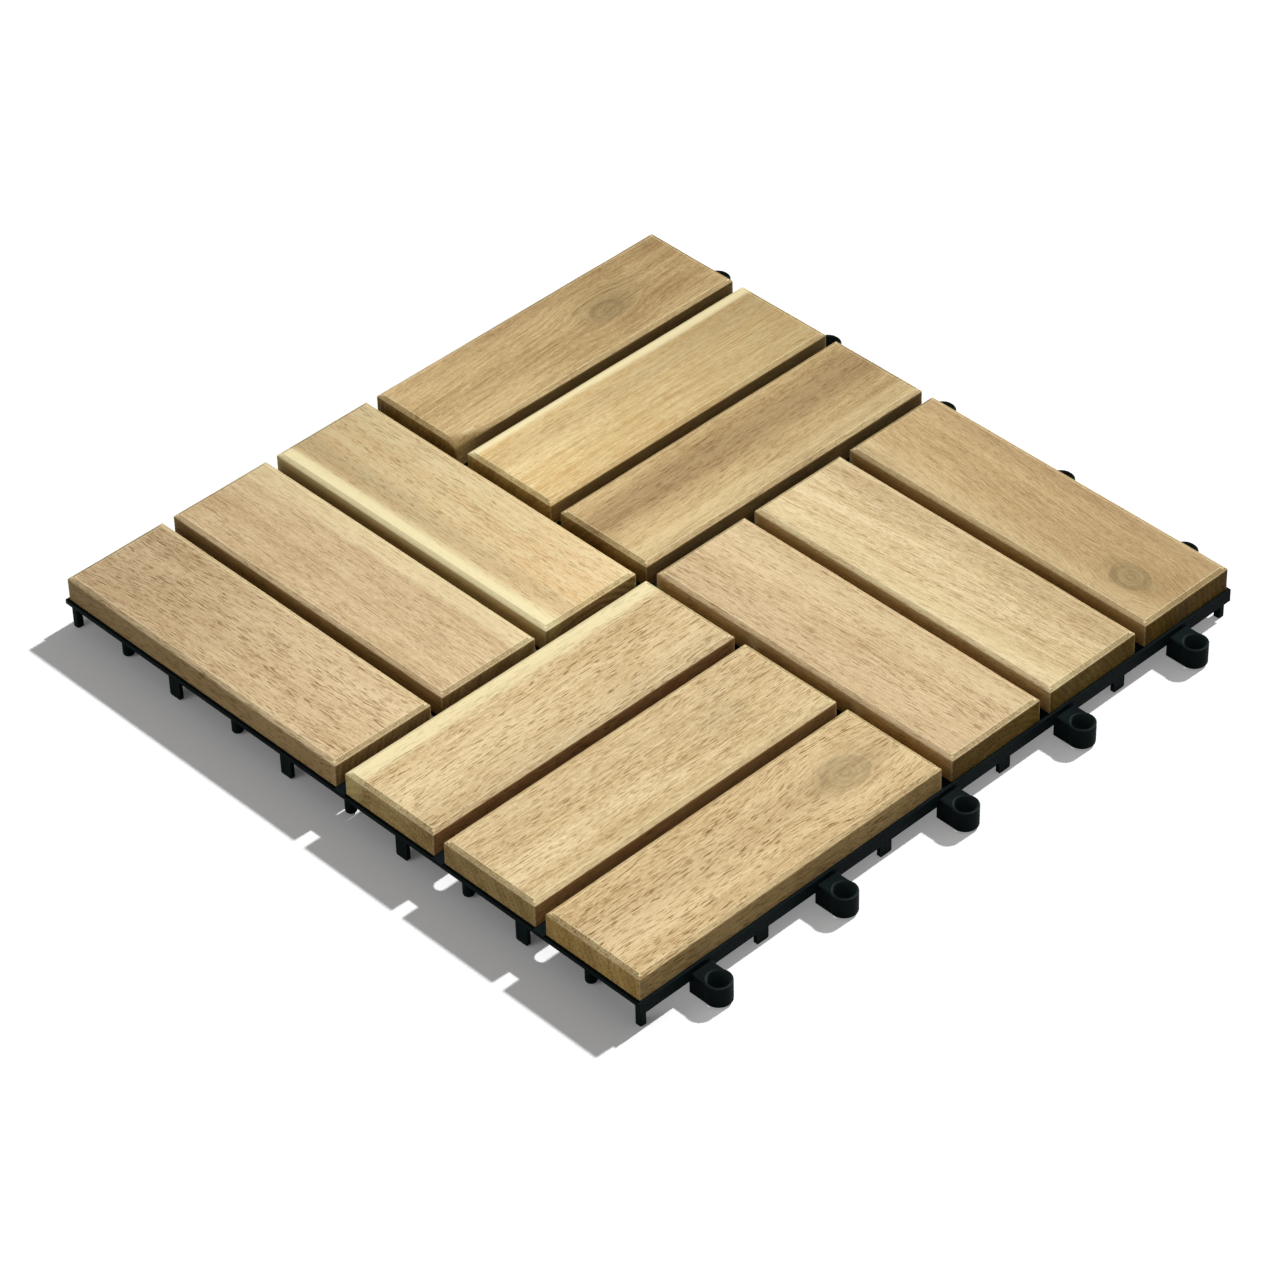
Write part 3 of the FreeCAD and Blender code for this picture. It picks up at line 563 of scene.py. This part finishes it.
def board_tree():
    """A board between two corners, with a bevelled top and a surface that isn't quite flat."""
    tree, n, given, result = group(
        "board",
        [("Low corner", VECTOR, (0, 0, 0)), ("High corner", VECTOR, (0.1, 0.1, 0.01)), ("Seed", FLOAT, 0.0),
         ("Bevel width", FLOAT, BEVEL_WIDTH), ("Bevel drop", FLOAT, BEVEL_DROP),
         ("Mesh step", FLOAT, MESH_STEP), ("Wane depth", FLOAT, 0.0), ("Wood", MATERIAL, None)],
        [("Board", GEOMETRY)], "GeometryNodeTree",
    )
    low, high = given["Low corner"], given["High corner"]
    bevel_width, drop = given["Bevel width"], given["Bevel drop"]
    size = n.vector("SUBTRACT", high, low)
    length_x, length_y, height = n.split(size)
    block = n.add("GeometryNodeMeshCube")
    n.link(size, block.inputs["Size"])
    block.inputs["Vertices Z"].default_value = 4
    block_x, block_y, block_z = n.split(n.add("GeometryNodeInputPosition").outputs[0])

    # Four levels: the underside, half way up the sides, the bevel's lower edge and the top
    half_height = n.times(height, 0.5)
    level = n.math("ROUND", n.ramp(block_z, n.times(half_height, -1.0), half_height, 0.0, 3.0, smooth=False))
    top = n.above(level, 2.5)
    up = n.times(n.math("MINIMUM", level, 2.0), n.times(n.minus(height, drop), 0.5))
    up = n.math("MULTIPLY_ADD", top, drop, up)

    # The top's outermost lines come in and down to the middle of the bevel
    x, outermost_x = lines_across(n, block_x, length_x, block.inputs["Vertices X"], bevel_width,
                                  given["Mesh step"])
    y, outermost_y = lines_across(n, block_y, length_y, block.inputs["Vertices Y"], bevel_width,
                                  given["Mesh step"])

    def inwards(place, block_place, distance):
        return n.minus(place, n.times(n.math("SIGN", block_place), distance))

    half_bevel = n.times(bevel_width, 0.5)
    x = inwards(x, block_x, n.times(n.times(top, outermost_x), half_bevel))
    y = inwards(y, block_y, n.times(n.times(top, outermost_y), half_bevel))
    on_bevel = n.times(top, n.math("MAXIMUM", outermost_x, outermost_y))
    up = n.minus(up, n.times(n.times(drop, 0.5), on_bevel))

    # Planing and weather leave the faces a few hundredths inside the true board
    centre_x, centre_y, _ = n.split(n.vector("MULTIPLY", n.vector("ADD", low, high), (0.5, 0.5, 0.5)))
    to_tile = n.join(centre_x, centre_y, n.split(low)[2])
    on_tile = n.vector("ADD", n.join(x, y, up), to_tile)
    wave = n.stretched_noise(on_tile, WAVES_PER_METRE, detail=0.0, seed=given["Seed"])
    rise = n.math("DIVIDE", up, height)
    side_wave = n.times(n.above(rise, 0.05), n.times(wave, SIDE_WAVE))
    edge_strip = n.times(bevel_width, 1.2)

    def waved(place, block_place, length):
        near_face = n.above(n.size(place), n.minus(n.times(length, 0.5), edge_strip))
        return inwards(place, block_place, n.times(near_face, side_wave))

    x, y = waved(x, block_x, length_x), waved(y, block_y, length_y)
    up = n.minus(up, n.times(n.above(rise, 0.85), n.times(wave, TOP_WAVE)))

    # The wane takes the corner down and back
    beside, reach = wane(n, on_tile)
    depth = n.times(n.times(n.math("POWER", beside, 1.3), given["Wane depth"]), rise)
    depth = n.times(depth, n.above(rise, 0.3))
    x = n.minus(x, n.times(n.times(depth, WANE_BACK), reach))
    up = n.minus(up, n.times(n.times(depth, WANE_DOWN), n.math("POWER", reach, 2.0)))

    moved = n.add("GeometryNodeSetPosition")
    n.link(block.outputs["Mesh"], moved.inputs["Geometry"])
    n.link(n.vector("ADD", n.join(x, y, up), to_tile), moved.inputs["Position"])
    weights = rounding_weights(n, n.split(high)[2], drop)
    board = n.store(moved.outputs["Geometry"], "bevel_weight_edge", "FLOAT", "EDGE", weights)
    end_tree(n, board, given["Wood"], result)
    return tree


def board_faces_tree():
    """Marks what the saw, the plane and wear left on each face of a board, where shade and highlight are
    painted, and the way its grain runs.
    """
    tree, n, given, result = group(
        "board faces",
        [("Board", GEOMETRY, None), ("Runs along X", FLOAT, 1.0), ("Wane depth", FLOAT, 0.0),
         ("Wood", MATERIAL, None)],
        [("Board", GEOMETRY)], "GeometryNodeTree",
    )
    along_x = given["Runs along X"]
    facing = n.add("GeometryNodeFieldOnDomain", data_type="FLOAT_VECTOR", domain="FACE")
    n.link(n.add("GeometryNodeInputNormal").outputs[0], facing.inputs[0])
    facing_x, facing_y, up = n.split(facing.outputs[0])
    facing_x, facing_y = n.size(facing_x), n.size(facing_y)
    lengthwise = n.choose(along_x, facing_x, facing_y)

    upright = n.fall(n.size(up), 0.3, 0.5, smooth=False)
    end = n.ramp(lengthwise, 0.8, 0.93, smooth=False)
    side = n.times(upright, n.minus(1.0, end))
    # The end grain of a bevel drinks more oil than its long grain
    bevel = n.times(n.band(up, 0.8, 0.88, 0.93, 0.945), n.ramp(lengthwise, 0.2, 0.35, 0.3, 1.0, smooth=False))
    # The pale edge line: along the crest partly wear and partly painted highlight; along the bevel's lower
    # arris and the upright corners painted highlight
    crest = n.band(up, 0.93, 0.955, 0.99, 0.996)
    lower_arris = n.times(n.band(up, 0.25, 0.35, 0.72, 0.8), 0.35)
    both_ways = n.math("MINIMUM", facing_x, facing_y)
    upright_arris = n.times(n.times(upright, n.ramp(both_ways, 0.35, 0.45, smooth=False)), 0.8)
    crest = n.math("MAXIMUM", crest, n.math("MAXIMUM", lower_arris, upright_arris))

    # The tree's own edge at the worn corner is a brown slope with no pale line along it
    position = n.add("GeometryNodeInputPosition").outputs[0]
    beside, reach = wane(n, position)
    waned = n.times(n.times(beside, reach), 3.2, clamp=True)
    waned = n.times(waned, n.above(given["Wane depth"], 0.0))
    marks = {"End": end, "Side": side, "Bevel": bevel, "Crest": crest}
    waned_marks = {"End": end, "Side": n.times(n.minus(1.0, end), 0.8), "Bevel": 0.3, "Crest": 0.0}
    board = given["Board"]
    for name in FACE_MARKS:
        mark = n.choose(waned, waned_marks[name], marks[name])
        board = n.store(board, name.lower(), "FLOAT", "CORNER", mark)

    x, y, z = n.split(position)
    grain = n.join(n.choose(along_x, x, y), n.choose(along_x, y, x), z)
    board = n.store(board, "grain", "FLOAT_VECTOR", "POINT", grain)
    smooth = n.add("GeometryNodeSetShadeSmooth")
    n.link(board, smooth.inputs["Geometry"])
    end_tree(n, smooth.outputs["Geometry"], given["Wood"], result)
    return tree


BOARD = board_tree()
BOARD_FACES = board_faces_tree()


def add_tree(piece, tree, values):
    """Puts a geometry node tree on a piece, with values for its named inputs."""
    modifier = piece.modifiers.new(tree.name, "NODES")
    modifier.node_group = tree
    for item in tree.interface.items_tree:
        if item.in_out == "INPUT" and item.name in values:
            modifier[item.identifier] = values[item.name]


def build_slat(node_name, look, seed):
    """One slat in its CAD box: the board, its rounded edges, then the marks of its faces."""
    low, high = (Vector(corner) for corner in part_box(node_name))
    along_x = high.x - low.x > high.y - low.y
    piece = bpy.data.objects.new(node_name.replace("slat", "timber"), bpy.data.meshes.new(node_name))
    bpy.context.scene.collection.objects.link(piece)
    shared = {"Wane depth": WANE_DEPTH if node_name == WANE_SLAT else 0.0,
              "Wood": timber_material(node_name, look, seed, along_x)}
    add_tree(piece, BOARD, {"Low corner": low, "High corner": high, "Seed": seed, **shared})
    rounding = piece.modifiers.new("rounding", "BEVEL")
    rounding.limit_method = "WEIGHT"
    rounding.width = ARRIS_ROUND
    rounding.segments = 2
    add_tree(piece, BOARD_FACES, {"Runs along X": float(along_x), **shared})
    evaluated = piece.evaluated_get(bpy.context.evaluated_depsgraph_get())
    plain = bpy.data.meshes.new_from_object(evaluated)
    # The tree's first mesh has an empty material slot before the wood's
    plain.materials.pop(index=0)
    piece.modifiers.clear()
    piece.data = plain
    weighted = piece.modifiers.new("face_weighted", "WEIGHTED_NORMAL")
    weighted.keep_sharp = True
    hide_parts(node_name)
    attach(piece, "root")


for number, (slat_name, slat_look) in enumerate(SLAT_LOOKS.items()):
    build_slat(slat_name, slat_look, FIRST_SEED + SEED_STEP * number)

# Base and screws

LOOP_CENTRE, LOOP_PITCH, BORE_RADIUS = 156.3 * MM, 60 * MM, 4.1 * MM


def moulded_plastic():
    """Black polypropylene with a fine spark-eroded grain and a little dust in it, with painted highlights on
    its upturned bevels and painted light in the loops' bores.
    """
    material, n, shader = new_material("moulded_plastic")
    place = n.add("ShaderNodeTexCoord").outputs["Object"]
    grain = n.noise(place, 1800.0, roughness=0.6)
    flow = n.noise(place, 60.0)
    colour = n.mix(n.ramp(flow, 0.3, 0.7), srgb(14, 22, 23), srgb(20, 29, 30))
    dust = n.times(n.ramp(grain, 0.56, 0.72), 0.4)
    colour = n.mix(dust, colour, srgb(44, 54, 55))

    # Painted highlight: the bevelled edges that face up are painted paler, as where they catch the light
    tilt = n.split(n.add("ShaderNodeNewGeometry").outputs["True Normal"])[2]
    bevelled = n.times(n.ramp(tilt, 0.4, 0.6), n.fall(tilt, 0.8, 0.97))
    colour = n.mix(n.times(bevelled, 0.6), colour, srgb(60, 70, 71))

    # Painted light: the loops' bores, which the lamps leave too dark, are painted paler
    right, back, _ = n.split(place)
    bore = 0.0
    for out, along in ((right, back), (back, right)):
        away = n.join(n.minus(out, LOOP_CENTRE), n.math("PINGPONG", along, LOOP_PITCH / 2), 0.0)
        near = n.fall(n.vector("LENGTH", away), BORE_RADIUS + 0.1 * MM, BORE_RADIUS + 0.2 * MM)
        bore = n.math("MAXIMUM", bore, near)
    colour = n.mix(n.times(bore, n.fall(n.size(tilt), 0.2, 0.4)), colour, srgb(56, 70, 70))

    n.link(colour, shader.inputs["Base Color"])
    n.link(n.ramp(grain, 0.3, 0.7, 0.55, 0.7), shader.inputs["Roughness"])
    shader.inputs["Specular IOR Level"].default_value = 0.03
    n.bump(grain, strength=0.35, depth=0.08 * MM, shader=shader)
    return material


def zinc_plate():
    """Bright zinc on the screws, slightly uneven."""
    material, n, shader = new_material("zinc_plate")
    place = n.add("ShaderNodeTexCoord").outputs["Object"]
    blotches = n.noise(place, 700.0, detail=3.0, roughness=0.6)
    colour = n.mix(n.ramp(blotches, 0.35, 0.7), srgb(196, 196, 192), srgb(160, 162, 160))
    n.link(colour, shader.inputs["Base Color"])
    n.link(n.ramp(blotches, 0.3, 0.7, 0.28, 0.45), shader.inputs["Roughness"])
    shader.inputs["Metallic"].default_value = 1.0
    return material


def finish_node(node_name, material):
    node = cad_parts[node_name]
    for material_slot in node.material_slots:
        material_slot.material = material


finish_node("base_grid", moulded_plastic())
finish_node("slat_screws", zinc_plate())

# Studio

SUN_DIRECTION, SUN_STRENGTH, SUN_ANGLE = Vector((0.02, 0.68, 0.73)), 3.15, math.radians(2.6)
FILL_DIRECTION = Vector((-0.25, -0.9, 0.38)).normalized()
FILL_DISTANCE, FILL_SIZE, FILL_POWER = 2.2, 1.2, 9.0
WORLD_LIGHT = 0.19
FLOOR_HALF, FLOOR_LEVEL = 6.0, -0.2 * MM
# The floor as the object sees it, and the light it sends to the camera away from and beside the loops
FLOOR_BOUNCE, FLOOR_GLOW, GLOW_BESIDE_LOOPS = (0.3, 0.3, 0.3, 1), 0.05, 0.21
# The photograph's camera: angles in degrees, and its focal length in pixels of a 1280 pixel picture
AZIMUTH, ELEVATION, ROLL = 46.65, 40.40, -1.55
CAMERA_TARGET, CAMERA_DISTANCE = Vector((16.3, -19.3, 11.88)) * MM, 1773.5 * MM
FOCAL_PIXELS, PICTURE_PIXELS, SENSOR_WIDTH = 4975, 1280, 36.0


def studio_floor():
    """A pale floor that shows white to the camera and sends only a little light back up."""
    corners = [(-FLOOR_HALF, -FLOOR_HALF, FLOOR_LEVEL), (FLOOR_HALF, -FLOOR_HALF, FLOOR_LEVEL),
               (FLOOR_HALF, FLOOR_HALF, FLOOR_LEVEL), (-FLOOR_HALF, FLOOR_HALF, FLOOR_LEVEL)]
    data = bpy.data.meshes.new("floor")
    data.from_pydata(corners, [], [(0, 1, 2, 3)])
    floor = bpy.data.objects.new("floor", data)
    bpy.context.scene.collection.objects.link(floor)
    material = bpy.data.materials.new("floor_paper")
    material.use_nodes = True
    tree = material.node_tree
    tree.nodes.clear()
    n = Nodes(tree)
    path = n.add("ShaderNodeLightPath").outputs
    seen = n.math("MAXIMUM", path["Is Glossy Ray"], path["Is Transmission Ray"])
    seen = n.math("MAXIMUM", path["Is Camera Ray"], seen)
    paper = n.add("ShaderNodeBsdfDiffuse")
    n.link(n.mix(seen, FLOOR_BOUNCE, WHITE), paper.inputs["Color"])
    # Painted light: the floor glows brighter to the camera along the two sides with loops, lifting the shadow
    # there
    right, back, _ = n.split(n.add("ShaderNodeTexCoord").outputs["Object"])
    beside = n.times(n.ramp(right, 110 * MM, 140 * MM), n.ramp(back, -150 * MM, -120 * MM))
    beside = n.math("MAXIMUM", beside, n.ramp(back, 130 * MM, 150 * MM))
    glow = n.add("ShaderNodeEmission")
    strength = n.ramp(beside, 0.0, 1.0, FLOOR_GLOW, GLOW_BESIDE_LOOPS, smooth=False)
    n.link(n.times(seen, strength), glow.inputs["Strength"])
    total = n.add("ShaderNodeAddShader")
    n.link(paper.outputs[0], total.inputs[0])
    n.link(glow.outputs[0], total.inputs[1])
    output = n.add("ShaderNodeOutputMaterial")
    n.link(total.outputs[0], output.inputs["Surface"])
    data.materials.append(material)


def studio_world():
    """White to the camera, and a faint even light on the object."""
    world = bpy.data.worlds.new("studio")
    bpy.context.scene.world = world
    world.use_nodes = True
    tree = world.node_tree
    tree.nodes.clear()
    n = Nodes(tree)
    path = n.add("ShaderNodeLightPath").outputs
    seen = n.math("MAXIMUM", path["Is Camera Ray"], path["Is Transmission Ray"])
    background = n.add("ShaderNodeBackground")
    background.inputs["Color"].default_value = WHITE
    n.link(n.ramp(seen, 0.0, 1.0, WORLD_LIGHT, 1.0, smooth=False), background.inputs["Strength"])
    output = n.add("ShaderNodeOutputWorld")
    n.link(background.outputs[0], output.inputs["Surface"])


def place_lamp(data, towards, distance):
    """Puts a lamp out in a direction and turns it to shine on the object."""
    lamp = bpy.data.objects.new(data.name, data)
    lamp.location = towards * distance
    lamp.rotation_euler = towards.to_track_quat("Z", "Y").to_euler()
    bpy.context.scene.collection.objects.link(lamp)


def studio_lamps():
    sun = bpy.data.lights.new("key", "SUN")
    sun.energy = SUN_STRENGTH
    sun.angle = SUN_ANGLE
    place_lamp(sun, SUN_DIRECTION, 0.0)
    fill = bpy.data.lights.new("fill", "AREA")
    fill.shape = "DISK"
    fill.size = FILL_SIZE
    fill.energy = FILL_POWER
    place_lamp(fill, FILL_DIRECTION, FILL_DISTANCE)


def studio_camera():
    """The photograph's own camera, solved from the slats' corners."""
    azimuth, elevation, roll = (math.radians(angle) for angle in (AZIMUTH, ELEVATION, ROLL))
    back = Vector((math.sin(azimuth) * math.cos(elevation), -math.cos(azimuth) * math.cos(elevation),
                   math.sin(elevation)))
    right = Vector((math.cos(azimuth), math.sin(azimuth), 0))
    up = back.cross(right)
    turned_right = right * math.cos(roll) + up * math.sin(roll)
    turned_up = up * math.cos(roll) - right * math.sin(roll)
    data = bpy.data.cameras.new("camera")
    data.sensor_width = SENSOR_WIDTH
    data.lens = FOCAL_PIXELS / PICTURE_PIXELS * SENSOR_WIDTH
    data.clip_end = 50
    camera = bpy.data.objects.new("camera", data)
    turn = Matrix((turned_right, turned_up, back)).transposed().to_4x4()
    camera.matrix_world = Matrix.Translation(CAMERA_TARGET + back * CAMERA_DISTANCE) @ turn
    bpy.context.scene.collection.objects.link(camera)
    bpy.context.scene.camera = camera


studio_floor()
studio_world()
studio_lamps()
studio_camera()
bpy.context.scene.view_settings.view_transform = "Standard"
